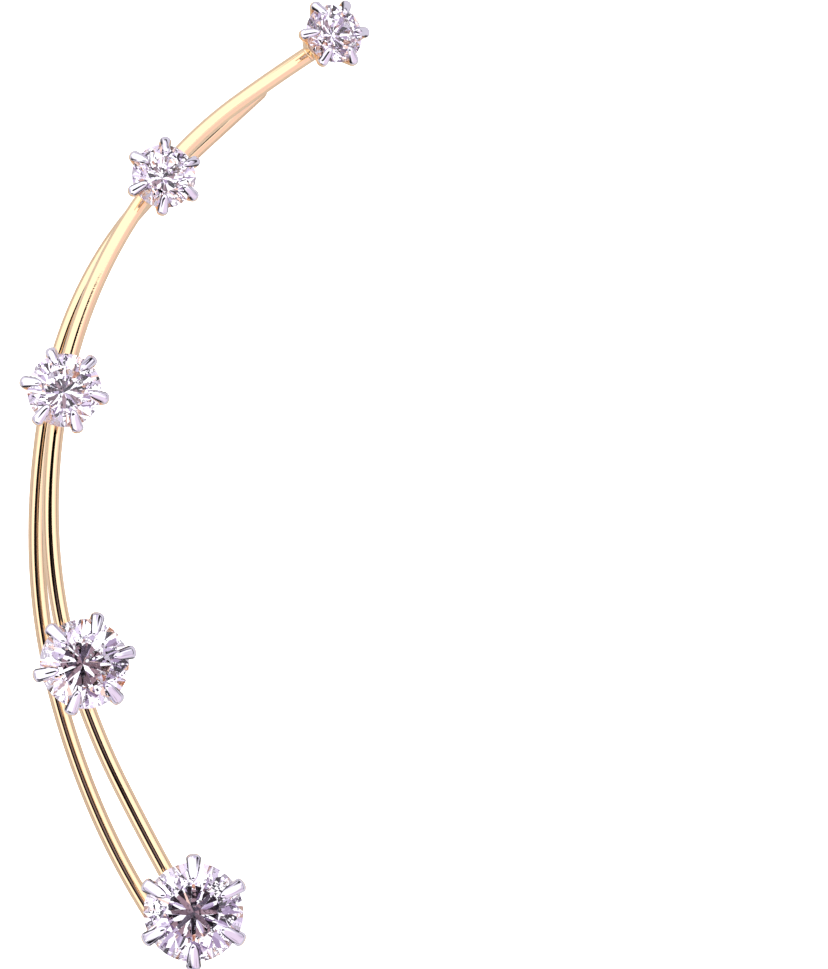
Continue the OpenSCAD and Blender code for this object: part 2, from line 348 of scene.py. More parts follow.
def card_floor():
    """A square of pale card under the jewel."""
    half = CARD_SIDE / 2
    corners = [(-half, -half, 0), (half, -half, 0), (half, half, 0), (-half, half, 0)]
    mesh = bpy.data.meshes.new("card")
    mesh.from_pydata(corners, [], [(0, 1, 2, 3)])
    card = piece_from(mesh, "card")
    paper = bpy.data.materials.new("pale_card")
    paper.use_nodes = True
    tree = paper.node_tree
    surface = tree.nodes["Principled BSDF"]
    place = add(tree, "ShaderNodeTexCoord").outputs["Object"]
    fibres = add(tree, "ShaderNodeTexNoise", {
        "Vector": place, "Scale": CARD_FIBRES, "Detail": 3.0,
    })
    rough = add(tree, "ShaderNodeMapRange", {
        "Value": fibres.outputs["Fac"], "To Min": CARD_ROUGH[0], "To Max": CARD_ROUGH[1],
    })
    tree.links.new(rough.outputs["Result"], surface.inputs["Roughness"])
    seen = add(tree, "ShaderNodeLightPath").outputs["Is Camera Ray"]
    tree.links.new(mixed(tree, seen, CARD_GREY, CARD_WHITE), surface.inputs["Base Color"])
    surface.inputs["Emission Color"].default_value = CARD_WHITE
    tree.links.new(calc(tree, "MULTIPLY", seen, CARD_BLEACH), surface.inputs["Emission Strength"])
    surface.inputs["Specular IOR Level"].default_value = CARD_GLOSS
    card.data.materials.append(paper)
    return card


floor = card_floor()
floor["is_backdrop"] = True

lamp_data = bpy.data.lights.new("soft_lamp", "AREA")
lamp_data.size = LAMP_SIDE * MM
lamp_data.energy = LAMP_WATTS
lamp = bpy.data.objects.new("soft_lamp", lamp_data)
lamp.location = LAMP_PLACE * MM
lamp.rotation_euler = (-LAMP_PLACE).to_track_quat("-Z", "Y").to_euler()
lamp.visible_glossy = False
bpy.context.scene.collection.objects.link(lamp)
print(f"lamp of {LAMP_SIDE:.0f} mm, {LAMP_PLACE.length:.0f} mm away")

# %% [markdown]
# ## Let bright light stay bright
# A filmic view transform softens highlights, which turns a white card grey. The jewel is
# shown light on white, so the plain sRGB transform is used and the whites may clip. Light
# crosses a stone many times before it comes out, so the paths are allowed more bounces.

# %% Choose the view transform and the bounces
STONE_BOUNCES = 24
METAL_BOUNCES = 12

view = bpy.context.scene.view_settings
view.view_transform = "Standard"
view.look = "None"
cycles = bpy.context.scene.cycles
cycles.max_bounces = STONE_BOUNCES
cycles.transmission_bounces = STONE_BOUNCES
cycles.glossy_bounces = METAL_BOUNCES
cycles.use_denoising = True
print("view transform:", view.view_transform)

# %% [markdown]
# ## Marks of polishing, shared by every metal
# A polished jewel isn't a perfect mirror. A buffing wheel leaves hair-fine scratches and soft
# swells, and handling leaves slightly duller patches. Each metal here needs that, so it is
# one node group. It puts out only a roughness and a height, and every material feeds them
# into its own shader.

# %% Build the group of polishing marks
SCRATCH_TURN = (0.4, 0.7, 0.5)
SCRATCH_STRETCH = (0.12, 1.0, 0.5)
SCRATCH_DEPTH = 0.04
PATCHES_PER_MM = 0.9
PATCH_RANGE = (0.35, 0.75)
LEAST_ROUGH = 0.01


def socket_in(tree, name, kind, value):
    """Gives a group an input with its usual value."""
    made = tree.interface.new_socket(name, in_out="INPUT", socket_type=kind)
    made.default_value = value


def polishing_marks():
    """A group that puts out the roughness and the height of polished metal."""
    tree = bpy.data.node_groups.new("polishing_marks", "ShaderNodeTree")
    socket_in(tree, "Scratches per mm", "NodeSocketFloat", 14.0)
    socket_in(tree, "Smoothest", "NodeSocketFloat", 0.03)
    socket_in(tree, "Dullest", "NodeSocketFloat", 0.12)
    tree.interface.new_socket("Roughness", in_out="OUTPUT", socket_type="NodeSocketFloat")
    tree.interface.new_socket("Height", in_out="OUTPUT", socket_type="NodeSocketFloat")
    given = add(tree, "NodeGroupInput").outputs
    place = add(tree, "ShaderNodeTexCoord").outputs["Object"]
    in_mm = add(tree, "ShaderNodeMapping", {"Vector": place, "Scale": (1 / MM,) * 3})
    stretched = add(tree, "ShaderNodeMapping", {
        "Vector": in_mm.outputs[0], "Rotation": SCRATCH_TURN, "Scale": SCRATCH_STRETCH,
    })
    scratches = add(tree, "ShaderNodeTexNoise", {
        "Vector": stretched.outputs[0], "Scale": given["Scratches per mm"], "Detail": 4.0,
    }).outputs["Fac"]
    patches = add(tree, "ShaderNodeTexNoise", {
        "Vector": in_mm.outputs[0], "Scale": PATCHES_PER_MM, "Detail": 2.0,
    }).outputs["Fac"]
    dull = add(tree, "ShaderNodeMapRange", {
        "Value": patches, "From Min": PATCH_RANGE[0], "From Max": PATCH_RANGE[1],
        "To Min": given["Smoothest"], "To Max": given["Dullest"],
    }, interpolation_type="SMOOTHSTEP").outputs["Result"]
    fine = calc(tree, "MULTIPLY", calc(tree, "SUBTRACT", scratches, 0.5), SCRATCH_DEPTH)
    rough = calc(tree, "MAXIMUM", calc(tree, "ADD", dull, fine), LEAST_ROUGH)
    add(tree, "NodeGroupOutput", {"Roughness": rough, "Height": scratches})
    return tree


marks = polishing_marks()
gives = [item.name for item in marks.interface.items_tree if item.in_out == "OUTPUT"]
print(marks.name, "gives", gives)

# %% [markdown]
# ## The metals
# The wire is yellow gold plate over brass. Each claw is plated white where it meets the
# stone, so that no yellow shows in it, and stays yellow on its lower, outer side. One
# attribute on the mesh, `white_plate`, says how white a place is. The material mixes the two
# plates by it and roughens the border a little, because dipping leaves no ruled line. Along
# the claw's flanks beside the stone a dark line is painted in, as painted shade of the narrow
# gap between claw and stone. A second attribute marks where that painted shade lies, and
# noise breaks the line up.

# %% Make the gold, the two-tone claws and the solder
YELLOW_GOLD = (0.95, 0.70, 0.46, 1.0)
WHITE_PLATE = (0.82, 0.78, 0.91, 1.0)
# Colour of the painted shade, a dark line that stands in for the shadowed gap between claw and
# stone
PAINTED_SHADE_COLOUR = (0.012, 0.010, 0.014, 1.0)
SOLDER_GOLD = (0.93, 0.70, 0.49, 1.0)
BUMP_HEIGHT = 0.0015
BUMP_STRENGTH = 0.5
# How far noise moves the border of the white plate, and how sharp the border is
BORDER_PER_MM = 6.0
BORDER_SHIFT = 0.35
BORDER_LIMITS = (0.4, 0.6)
# Noise that breaks up the painted gap shade along the claws
PAINTED_SHADE_BREAKS_PER_MM = 1.6
PAINTED_SHADE_BREAKS = (0.47, 0.51)


def metal(name, smoothest, dullest):
    """A metal with polishing marks. Returns the material, its tree and its shader."""
    material = bpy.data.materials.new(name)
    material.use_nodes = True
    tree = material.node_tree
    surface = tree.nodes["Principled BSDF"]
    surface.inputs["Metallic"].default_value = 1.0
    group = add(tree, "ShaderNodeGroup", node_tree=marks)
    group.inputs["Smoothest"].default_value = smoothest
    group.inputs["Dullest"].default_value = dullest
    bump = add(tree, "ShaderNodeBump", {
        "Height": group.outputs["Height"], "Distance": BUMP_HEIGHT * MM,
        "Strength": BUMP_STRENGTH,
    })
    tree.links.new(group.outputs["Roughness"], surface.inputs["Roughness"])
    tree.links.new(bump.outputs["Normal"], surface.inputs["Normal"])
    return material, tree, surface


gold, _, gold_surface = metal("gold_plate", smoothest=0.02, dullest=0.07)
gold_surface.inputs["Base Color"].default_value = YELLOW_GOLD

solder, _, solder_surface = metal("gold_solder", smoothest=0.12, dullest=0.24)
solder_surface.inputs["Base Color"].default_value = SOLDER_GOLD


def two_tone_plate():
    """Yellow gold and white plate by one attribute of the mesh, and painted gap shade by another.
    """
    material, tree, surface = metal("two_tone_plate", smoothest=0.02, dullest=0.08)
    place = add(tree, "ShaderNodeTexCoord").outputs["Object"]
    share = add(tree, "ShaderNodeAttribute", attribute_name="white_plate").outputs["Fac"]
    ragged = add(tree, "ShaderNodeTexNoise", {
        "Vector": place, "Scale": BORDER_PER_MM / MM, "Detail": 3.0,
    }).outputs["Fac"]
    shift = calc(tree, "MULTIPLY", calc(tree, "SUBTRACT", ragged, 0.5), BORDER_SHIFT)
    border = soft_step(tree, calc(tree, "ADD", share, shift), *BORDER_LIMITS)
    plate = mixed(tree, border, YELLOW_GOLD, WHITE_PLATE)
    # Painted shade: the second attribute darkens the claw's flanks beside the stone
    painted_shade = add(tree, "ShaderNodeAttribute", attribute_name="painted_shade").outputs["Fac"]
    broken = add(tree, "ShaderNodeTexNoise", {
        "Vector": place, "Scale": PAINTED_SHADE_BREAKS_PER_MM / MM, "Detail": 1.0,
    }).outputs["Fac"]
    dark = calc(tree, "MULTIPLY", painted_shade, soft_step(tree, broken, *PAINTED_SHADE_BREAKS))
    tree.links.new(mixed(tree, dark, plate, PAINTED_SHADE_COLOUR), surface.inputs["Base Color"])
    return material


two_tone = two_tone_plate()
print("metals:", gold.name, solder.name, two_tone.name)

# %% [markdown]
# ## The path of the wire
# A maker bends a wire round pegs, so it is made of arcs that run smoothly into each other.
# Ten places along it are enough, each with the heading and the rise that the wire has there.
# Between two places a pair of arcs meets at the one point where both can share a direction.
# A free spline would be less work, but it flattens and bulges between its points, and a
# polished wire shows every such wobble in its highlight.

# %% Join ten places by arcs
WIRE_R = 0.425
LAYOUT_SHIFT = Vector((-0.087, 0.02, 0.0))
# x, y, height of the axis, heading and rise
FRONT_PLACES = [
    (6.95, 22.30, 2.25, -147.5, 13.5),
    (-1.85, 15.12, 4.40, -128, 8),
    (-6.60, 4.40, 5.50, -100.5, 3),
    (-6.00, -9.00, 5.75, -73.5, -1),
    (-0.65, -20.60, 5.40, -60.5, 0),
]
EAR_PLACES = [
    (-2.15, -21.45, WIRE_R, 122.5, 0),
    (-6.86, -10.47, WIRE_R, 104.5, 0),
    (-7.18, 4.59, WIRE_R, 79, 0),
    (-1.90, 14.76, WIRE_R, 45, 0),
    (0.37, 17.04, WIRE_R, 42.5, 0),
]
# Length of the ear wire's straight end, and the distance between two points of the path
FREE_END = 4.4
POINT_GAP = 0.15
# Points near the free tip, by their distance from it, where it is rounded
TIP_POINTS = (0.1, 0.06, 0.03, 0.01, 0.0)


def place_and_way(x, y, z, heading, rise):
    """A place on the wire's axis and the wire's direction there. Angles are in degrees."""
    flat = math.cos(math.radians(rise))
    turn = math.radians(heading)
    way = Vector((math.cos(turn) * flat, math.sin(turn) * flat, math.sin(math.radians(rise))))
    return Vector((x, y, z)) + LAYOUT_SHIFT, way


def meeting(p, t, q, u):
    """The point where the arc that leaves p along t meets the one that reaches q along u."""
    v, s, k = q - p, t + u, 2 * (1 - t.dot(u))
    reach = (math.sqrt(v.dot(s) ** 2 + k * v.dot(v)) - v.dot(s)) / k
    return (p + q + reach * (t - u)) / 2


def arc(start, way, end):
    """Points from start to end, without the last, and the way in which the arc ends."""
    chord = (end - start).normalized()
    turn = 2 * math.acos(way.dot(chord))
    radius = (end - start).length / (2 * math.sin(turn / 2))
    inward = (chord - chord.dot(way) * way).normalized()
    count = math.ceil(radius * turn / POINT_GAP)
    angles = [turn * i / count for i in range(count)]
    points = [start + radius * (math.sin(a) * way + (1 - math.cos(a)) * inward) for a in angles]
    return points, 2 * way.dot(chord) * chord - way


def wire_path():
    """Points along the wire's axis, from the smallest stone round the bend to the free tip."""
    rows = [place_and_way(*row) for row in FRONT_PLACES + EAR_PLACES]
    points = []
    for (p, t), (q, u) in zip(rows, rows[1:]):
        middle = meeting(p, t, q, u)
        first, way = arc(p, t, middle)
        second, _ = arc(middle, way, q)
        points += first + second
    foot, way = rows[-1]
    count = round(FREE_END / POINT_GAP)
    points += [foot + way * FREE_END * i / count for i in range(count)]
    return points + [foot + way * (FREE_END - gap) for gap in TIP_POINTS]


path = wire_path()
length = sum((b - a).length for a, b in zip(path, path[1:]))
print(f"the wire is {length:.1f} mm long, drawn through {len(path)} points")

# %% [markdown]
# ## Sweep a round section along a path
# Drawn wire keeps one section from end to end, which is what Curve to Mesh makes. The tree
# also works out how far each point is from the ends, and shrinks the section there on a
# quarter circle. So the free end comes out rounded, as a maker files it to pass an ear, with
# no separate cap. The same tree later draws the beads of solder.

# %% Build the sweeping tree
# Square of the share of the radius that is left at the very end
END_LEFT = 0.0004


def mesh_path(paths, name):
    """A mesh of bare edges, one chain for each path."""
    mesh = bpy.data.meshes.new(name)
    verts, edges = [], []
    for points in paths:
        first = len(verts)
        verts += [tuple(point) for point in points]
        edges += [(i, i + 1) for i in range(first, len(verts) - 1)]
    mesh.from_pydata(verts, edges, [])
    return mesh


def output_geometry(tree, geometry, finish):
    """Ends a tree: real geometry in place of instances, then its material."""
    real = add(tree, "GeometryNodeRealizeInstances", {"Geometry": geometry})
    dressed = add(tree, "GeometryNodeSetMaterial", {
        "Geometry": real.outputs[0], "Material": finish,
    })
    add(tree, "NodeGroupOutput", {0: dressed.outputs[0]})


def geometry_tree(name, sizes):
    """A new geometry tree that takes a mesh, a finish, and the named sizes."""
    tree = bpy.data.node_groups.new(name, "GeometryNodeTree")
    sockets = {"Geometry": "Geometry", **sizes, "Finish": "Material"}
    for label, kind in sockets.items():
        tree.interface.new_socket(label, in_out="INPUT", socket_type="NodeSocket" + kind)
    tree.interface.new_socket("Geometry", in_out="OUTPUT", socket_type="NodeSocketGeometry")
    return tree, add(tree, "NodeGroupInput").outputs


def rounding(tree, distance, length):
    """1 away from an end, falling to 0 at it along a quarter circle."""
    near = calc(tree, "MINIMUM", calc(tree, "DIVIDE", distance, length), 1.0)
    missing = calc(tree, "SUBTRACT", 1.0, near)
    left = calc(tree, "SUBTRACT", 1.0, calc(tree, "MULTIPLY", missing, missing))
    return calc(tree, "SQRT", calc(tree, "MAXIMUM", left, END_LEFT))


def sweeping_tree():
    """Sweeps a circle along each path and rounds both of its ends."""
    tree, given = geometry_tree("swept_section", {
        "Radius": "Float", "First end": "Float", "Last end": "Float", "Sides": "Int",
    })
    curve = add(tree, "GeometryNodeMeshToCurve", {"Mesh": given["Geometry"]}).outputs[0]
    along = add(tree, "GeometryNodeSplineParameter").outputs["Length"]
    whole = add(tree, "GeometryNodeSplineLength").outputs["Length"]
    first = rounding(tree, along, given["First end"])
    last = rounding(tree, calc(tree, "SUBTRACT", whole, along), given["Last end"])
    thickness = calc(tree, "MULTIPLY", calc(tree, "MULTIPLY", first, last), given["Radius"])
    circle = add(tree, "GeometryNodeCurvePrimitiveCircle", {
        "Resolution": given["Sides"], "Radius": 1.0,
    })
    swept = add(tree, "GeometryNodeCurveToMesh", {
        "Curve": curve, "Profile Curve": circle.outputs[0], "Scale": thickness,
        "Fill Caps": True,
    })
    smooth = add(tree, "GeometryNodeSetShadeSmooth", {"Geometry": swept.outputs[0]})
    output_geometry(tree, smooth.outputs[0], given["Finish"])
    return tree


def harvest(mesh, tree, values):
    """Runs a geometry tree on a mesh and returns what it makes as a plain mesh."""
    carrier = bpy.data.objects.new("carrier", mesh)
    bpy.context.scene.collection.objects.link(carrier)
    modifier = carrier.modifiers.new(tree.name, "NODES")
    modifier.node_group = tree
    for item in tree.interface.items_tree:
        if item.in_out == "INPUT" and item.name in values:
            modifier[item.identifier] = values[item.name]
    graph = bpy.context.evaluated_depsgraph_get()
    made = bpy.data.meshes.new_from_object(
        carrier.evaluated_get(graph), preserve_all_data_layers=True, depsgraph=graph
    )
    carrier.modifiers.remove(modifier)
    bpy.data.objects.remove(carrier)
    return made


sweeping = sweeping_tree()
print("inputs:", [item.name for item in sweeping.interface.items_tree if item.in_out == "INPUT"])

# %% [markdown]
# ## The wire
# Front wire, bend and ear wire are one length of wire on the real jewel, so they are one
# piece here. Cutting it at the bend would leave a seam that the highlight breaks at.

# %% Draw the wire
WIRE_SIDES = 40
HIDDEN_END_ROUND = 0.06
TIP_ROUND = 0.5

wire_mesh = harvest(mesh_path([path], "wire_path"), sweeping, {
    "Radius": WIRE_R, "First end": HIDDEN_END_ROUND, "Last end": TIP_ROUND,
    "Sides": WIRE_SIDES, "Finish": gold,
})
wire = piece_from(wire_mesh, "climber_wire")
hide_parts("climber_frame")
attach(wire, "root")

# %% [markdown]
# ## Where each stone sits
# The stones grow down the jewel in steps that stone cutters sell. Each stands over the wire
# on its own axis, and the upper ones lean over with the wire. The same numbers place the
# claws, the base ring and the solder, so one row for each stone is enough. Each stone's
# girdle height is printed beside the top of its box in the imported model.

# %% List the stones and print them beside the imported model
GIRDLE_SHARE = 0.028
PAVILION_SLOPE = math.radians(43.8)
CULET_GAP = 0.12
STONES = [
    # diameter, x, y, height of the wire's axis, lean, way of the lean, turn of the claws
    (3.00, 7.05, 22.55, 2.39, 27, 34, 5),
    (3.25, -1.45, 15.40, 4.40, 17, 50, 26.5),
    (3.75, -6.40, 4.70, 5.50, 12, 78, 48.5),
    (4.50, -5.40, -8.95, 5.75, 8, 13.5, 14),
    (5.00, 0.05, -21.35, 5.40, 0, 0, 30),
]


def girdle_half(d):
    """Half the thickness of the girdle of a stone of diameter d."""
    return d * GIRDLE_SHARE / 2


def wire_drop(d):
    """Depth of the wire's axis under the girdle."""
    return girdle_half(d) + d / 2 * math.tan(PAVILION_SLOPE) + CULET_GAP + WIRE_R


def stone_matrix(d, x, y, wire_z, lean, lean_to, _):
    """Carries a stone's own frame, with the girdle at its origin, to its place.

    The last value of a stone's row, the turn of its claws, plays no part in it.
    """
    lean, lean_to = math.radians(lean), math.radians(lean_to)
    lift = wire_z + wire_drop(d) * math.cos(lean)
    tilt = (Matrix.Rotation(lean_to, 4, "Z") @ Matrix.Rotation(lean, 4, "Y")
            @ Matrix.Rotation(-lean_to, 4, "Z"))
    return Matrix.Translation(Vector((x, y, lift)) + LAYOUT_SHIFT) @ tilt


for number, row in enumerate(STONES, 1):
    _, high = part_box(f"stone_{number}")
    here = stone_matrix(*row).translation
    print(f"stone_{number}: {row[0]:.2f} mm, girdle at {here.z:.2f}, box to {high.z / MM:.2f}")

# %% [markdown]
# ## One claw
# A claw rises from the base ring, bends closely round the girdle and is burnished down over
# the crown, where its end is filed round. It could be a bent cylinder, but a real claw is
# wider than it is thick, flat where it meets the stone and round outside, and its end thins
# out to a petal. So it is lofted: a half-round section is carried along the rise, the bend
# and the fold, with its own width and thickness at each step, and the last sections close
# over the tip. The fold lies on the crown at first and levels out over it, which rounds the
# highlight along the claw.

# %% Loft a claw for a stone of a given size
STONE_GAP = 0.04
CLAW_WIDTH_BASE = 0.2
CLAW_WIDTH_GAIN = 0.11
CLAW_THICKNESS = 0.33
# Distance of the tip from the stone's axis, as a share of the stone's radius
CLAW_REACH = 0.62
# Share of its width and of its thickness that a claw loses along the fold
CLAW_TAPER = 0.4
CLAW_THINS = 0.45
# Width of a claw where it leaves the ring, as a share of its full width
FOOT_WIDTH = 0.75
# Share of the fold at which the tip begins, and how blunt it is from above and from the side
TIP_FROM = 0.5
TIP_BLUNT = 3
TIP_BLUNT_SIDE = 5
RISE_STEPS, BEND_STEPS, FOLD_STEPS = 6, 8, 16
# Step of the bend at which the white plate begins, and steps until it is full
WHITE_BEGINS, WHITE_GROWS = 4, 3
FOLD_SLOPE = math.radians(41)
TIP_SLOPE = math.radians(30)
# Middle of the ring's wall, as a share of the stone's radius
RING_SHARE = 0.46
RING_HEIGHT = 0.6
# Height of the ring's underside over the wire's axis
RING_LIFT = 0.05
SECTION_SIDES = 36
# Share of the section's thickness on the side of the stone, and how flat that side is
INNER_SHARE = 0.65
INNER_POWER = 2 / 3
# Where round the section the painted gap shade begins and is full, from the claw's ridge on
PAINTED_SHADE_FROM, PAINTED_SHADE_TO = math.radians(48), math.radians(62)


def clamped(value):
    return min(1.0, max(0.0, value))


def claw_width(d):
    return CLAW_WIDTH_BASE + CLAW_WIDTH_GAIN * d


def ring_foot(d):
    """Height of the base ring's underside in the stone's own frame."""
    return RING_LIFT - wire_drop(d)


def claw_sections(d):
    """Rows of (distance from the axis, height, way outward, half width, half thickness, white)."""
    r, thick, wide = d / 2, CLAW_THICKNESS / 2, claw_width(d) / 2
    bend_r = STONE_GAP + girdle_half(d) + thick
    foot = Vector((RING_SHARE * r, ring_foot(d) + RING_HEIGHT / 2))
    to_girdle = Vector((r, 0)) - foot
    climb = math.atan2(to_girdle.y, to_girdle.x) - math.asin(bend_r / to_girdle.length)
    low_way, high_way = climb - math.pi / 2, math.pi / 2 - FOLD_SLOPE
    bend_foot = Vector((r, 0)) + bend_r * Vector((math.cos(low_way), math.sin(low_way)))
    rows = []
    for i in range(RISE_STEPS):
        share = i / RISE_STEPS
        at = foot.lerp(bend_foot, share)
        w = wide * (FOOT_WIDTH + (1 - FOOT_WIDTH) * share)
        rows.append((at.x, at.y, low_way, w, thick, 0.0))
    for i in range(BEND_STEPS + 1):
        way = low_way + (high_way - low_way) * i / BEND_STEPS
        out = Vector((math.cos(way), math.sin(way)))
        at = Vector((r, 0)) + bend_r * out
        white = clamped((i - WHITE_BEGINS) / WHITE_GROWS)
        rows.append((at.x, at.y, way, wide, thick, white))
    inner = Vector((r, 0)) + (bend_r - thick) * out
    fold = (inner.x - CLAW_REACH * r) / math.cos((FOLD_SLOPE + TIP_SLOPE) / 2)
    before = 0.0
    for i in range(1, FOLD_STEPS + 1):
        share = math.sin(math.pi / 2 * i / FOLD_STEPS)
        slope = FOLD_SLOPE + (TIP_SLOPE - FOLD_SLOPE) * (share + before) / 2
        inner += (share - before) * fold * Vector((-math.cos(slope), math.sin(slope)))
        before = share
        past = max(0.0, share - TIP_FROM) / (1 - TIP_FROM)
        w = wide * (1 - CLAW_TAPER * share) * math.sqrt(max(0.0, 1 - past ** TIP_BLUNT))
        t = thick * (1 - CLAW_THINS * share) * math.sqrt(max(0.0, 1 - past ** TIP_BLUNT_SIDE))
        at = inner + t * Vector((math.sin(slope), math.cos(slope)))
        rows.append((at.x, at.y, math.pi / 2 - slope, w, t, 1.0))
    return rows


def half_round(a, w, t):
    """A point of the section: nearly flat towards the stone, well rounded on the outside."""
    c, s = math.cos(a), math.sin(a)
    if c > 0:
        return t * ((2 - INNER_SHARE) * c + INNER_SHARE - 1), w * s
    return (
        t * (INNER_SHARE - 1 - INNER_SHARE * abs(c) ** INNER_POWER),
        w * math.copysign(abs(s) ** INNER_POWER, s),
    )


def claw_mesh(d):
    """A closed claw, with how white each point is and how much painted gap shade it takes."""
    n = SECTION_SIDES
    sections = claw_sections(d)
    verts, faces, white, painted_shade = [], [], [], []
    for x, z, way, w, t, plate in sections[:-1]:
        for j in range(n):
            a = 2 * math.pi * j / n
            out, side = half_round(a, w, t)
            verts.append((x + out * math.cos(way), side, z + out * math.sin(way)))
            white.append(plate)
            # Painted shade: the flanks and the side against the stone get the dark line, where the
            # plate is white
            from_ridge = abs(a - 2 * math.pi) if a > math.pi else a
            shade_share = clamped((from_ridge - PAINTED_SHADE_FROM) / (PAINTED_SHADE_TO - PAINTED_SHADE_FROM))
            painted_shade.append(shade_share if plate == 1.0 else 0.0)
    for i in range(len(sections) - 2):
        for j in range(n):
            k = (j + 1) % n
            faces.append((i * n + j, (i + 1) * n + j, (i + 1) * n + k, i * n + k))
    tip, last = len(verts), len(sections) - 2
    verts.append((sections[-1][0], 0, sections[-1][1]))
    white.append(1.0)
    painted_shade.append(0.0)
    faces += [(last * n + j, tip, last * n + (j + 1) % n) for j in range(n)]
    faces.append(tuple(range(n)))
    mesh = bpy.data.meshes.new("claw")
    mesh.from_pydata(verts, [], faces)
    for name, values in (("white_plate", white), ("painted_shade", painted_shade)):
        mesh.attributes.new(name, "FLOAT", "POINT").data.foreach_set("value", values)
    return mesh


sample = claw_mesh(STONES[-1][0])
print(f"the largest claw is {claw_width(STONES[-1][0]):.2f} mm wide, {len(sample.polygons)} faces")

# %% [markdown]
# ## Six claws on a base ring
# The claws of a setting are alike and evenly spaced, so one is instanced at six points, each
# turned a sixth of a circle further. The base ring is a round curve with a small rounded
# rectangle for its section, like a slice of tube with its edges broken. Instances keep the
# tree light, and Realize Instances turns them into real faces at the end.

# %% Build the tree of a setting
RING_SIDES = 96
EDGE_STEPS = 4


def setting_tree():
    """Turns copies of one claw round the axis and puts the base ring under them."""
    tree, given = geometry_tree("claw_setting", {
        "Claws": "Int", "First claw": "Float", "Ring radius": "Float", "Ring wall": "Float",
        "Ring height": "Float", "Ring foot": "Float", "Edge": "Float",
    })
    points = add(tree, "GeometryNodePoints", {"Count": given["Claws"]}).outputs[0]
    index = add(tree, "GeometryNodeInputIndex").outputs[0]
    step = calc(tree, "DIVIDE", 2 * math.pi, given["Claws"])
    turn = calc(tree, "MULTIPLY_ADD", index, step, given["First claw"])
    around = add(tree, "ShaderNodeCombineXYZ", {"Z": turn}).outputs[0]
    smooth_claw = add(tree, "GeometryNodeSetShadeSmooth", {"Geometry": given["Geometry"]})
    claws = add(tree, "GeometryNodeInstanceOnPoints", {
        "Points": points, "Instance": smooth_claw.outputs[0], "Rotation": around,
    })
    section = add(tree, "GeometryNodeCurvePrimitiveQuadrilateral", {
        "Width": given["Ring wall"], "Height": given["Ring height"],
    })
    rounded = add(tree, "GeometryNodeFilletCurve", {
        "Curve": section.outputs[0], "Radius": given["Edge"], "Count": EDGE_STEPS,
    }, mode="POLY")
    circle = add(tree, "GeometryNodeCurvePrimitiveCircle", {
        "Resolution": RING_SIDES, "Radius": given["Ring radius"],
    })
    hoop = add(tree, "GeometryNodeCurveToMesh", {
        "Curve": circle.outputs[0], "Profile Curve": rounded.outputs[0],
    })
    middle = calc(tree, "MULTIPLY_ADD", given["Ring height"], 0.5, given["Ring foot"])
    lowered = add(tree, "GeometryNodeTransform", {
        "Geometry": hoop.outputs[0],
        "Translation": add(tree, "ShaderNodeCombineXYZ", {"Z": middle}).outputs[0],
    })
    smooth_ring = add(tree, "GeometryNodeSetShadeSmooth", {"Geometry": lowered.outputs[0]})
    joined = add(tree, "GeometryNodeJoinGeometry")
    tree.links.new(claws.outputs[0], joined.inputs[0])
    tree.links.new(smooth_ring.outputs[0], joined.inputs[0])
    output_geometry(tree, joined.outputs[0], given["Finish"])
    return tree


claw_setting = setting_tree()
names = [item.name for item in claw_setting.interface.items_tree if item.in_out == "INPUT"]
print("inputs:", names)

# %% [markdown]
# ## The five settings
# Each stone gets its own setting, a size larger than the one above. The tree makes it
# upright at the origin, where its sizes are easy to check, and the stone's matrix then
# carries the finished mesh to its place on the wire.

# %% Make and place the settings
CLAWS = 6
RING_WALL = 0.5
RING_EDGE = 0.07

for number, row in enumerate(STONES, 1):
    d = row[0]
    mesh = harvest(claw_mesh(d), claw_setting, {
        "Claws": CLAWS, "First claw": math.radians(row[-1]),
        "Ring radius": RING_SHARE * d / 2, "Ring wall": RING_WALL,
        "Ring height": RING_HEIGHT, "Ring foot": ring_foot(d), "Edge": RING_EDGE,
        "Finish": two_tone,
    })
    setting = piece_from(mesh, f"setting_{number}", stone_matrix(*row))
    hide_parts("climber_frame")
    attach(setting, "root")

# %% [markdown]
# ## Beads of solder
# Where the wire passes under a base ring, solder has run into the corner between them and
# set as a narrow shiny bead. Left out, the two forms would cut each other with an edge as
# sharp as paper, which metal never has. Each bead follows the line in which the round wire
# meets the round wall of the ring. Its points come from solving for that line, and the
# sweeping tree draws all the beads at once.

# %% Find where the wire meets each ring, and lay the beads
BEAD_R = 0.085
BEAD_HALF_ANGLE = math.radians(100)
BEAD_STEPS = 24
BEAD_SIDES = 12
# A line of fewer points than this is too short for a bead
BEAD_LEAST_POINTS = 4


def wire_near(place):
    """The place on the wire nearest to a point, and the wire's way there."""
    nearest = min(range(1, len(path) - 1), key=lambda i: (path[i] - place).length)
    return path[nearest], (path[nearest + 1] - path[nearest - 1]).normalized()


def bead_path(centre, way, ring_r, side, foot):
    """The line where the wire meets a wall of radius ring_r, in the stone's own frame."""
    across = way.cross(Vector((0, 0, 1))).normalized()
    over = across.cross(way)
    points = []
    for i in range(BEAD_STEPS + 1):
        a = BEAD_HALF_ANGLE * (2 * i / BEAD_STEPS - 1)
        skin = centre + WIRE_R * (math.sin(a) * across + math.cos(a) * over)
        flat, run = skin.to_2d(), way.to_2d()
        b, c = flat.dot(run), flat.dot(flat) - ring_r ** 2
        reach = (side * math.sqrt(max(0.0, b * b - run.dot(run) * c)) - b) / run.dot(run)
        point = skin + reach * way
        if point.z > foot:
            points.append(point)
    return points


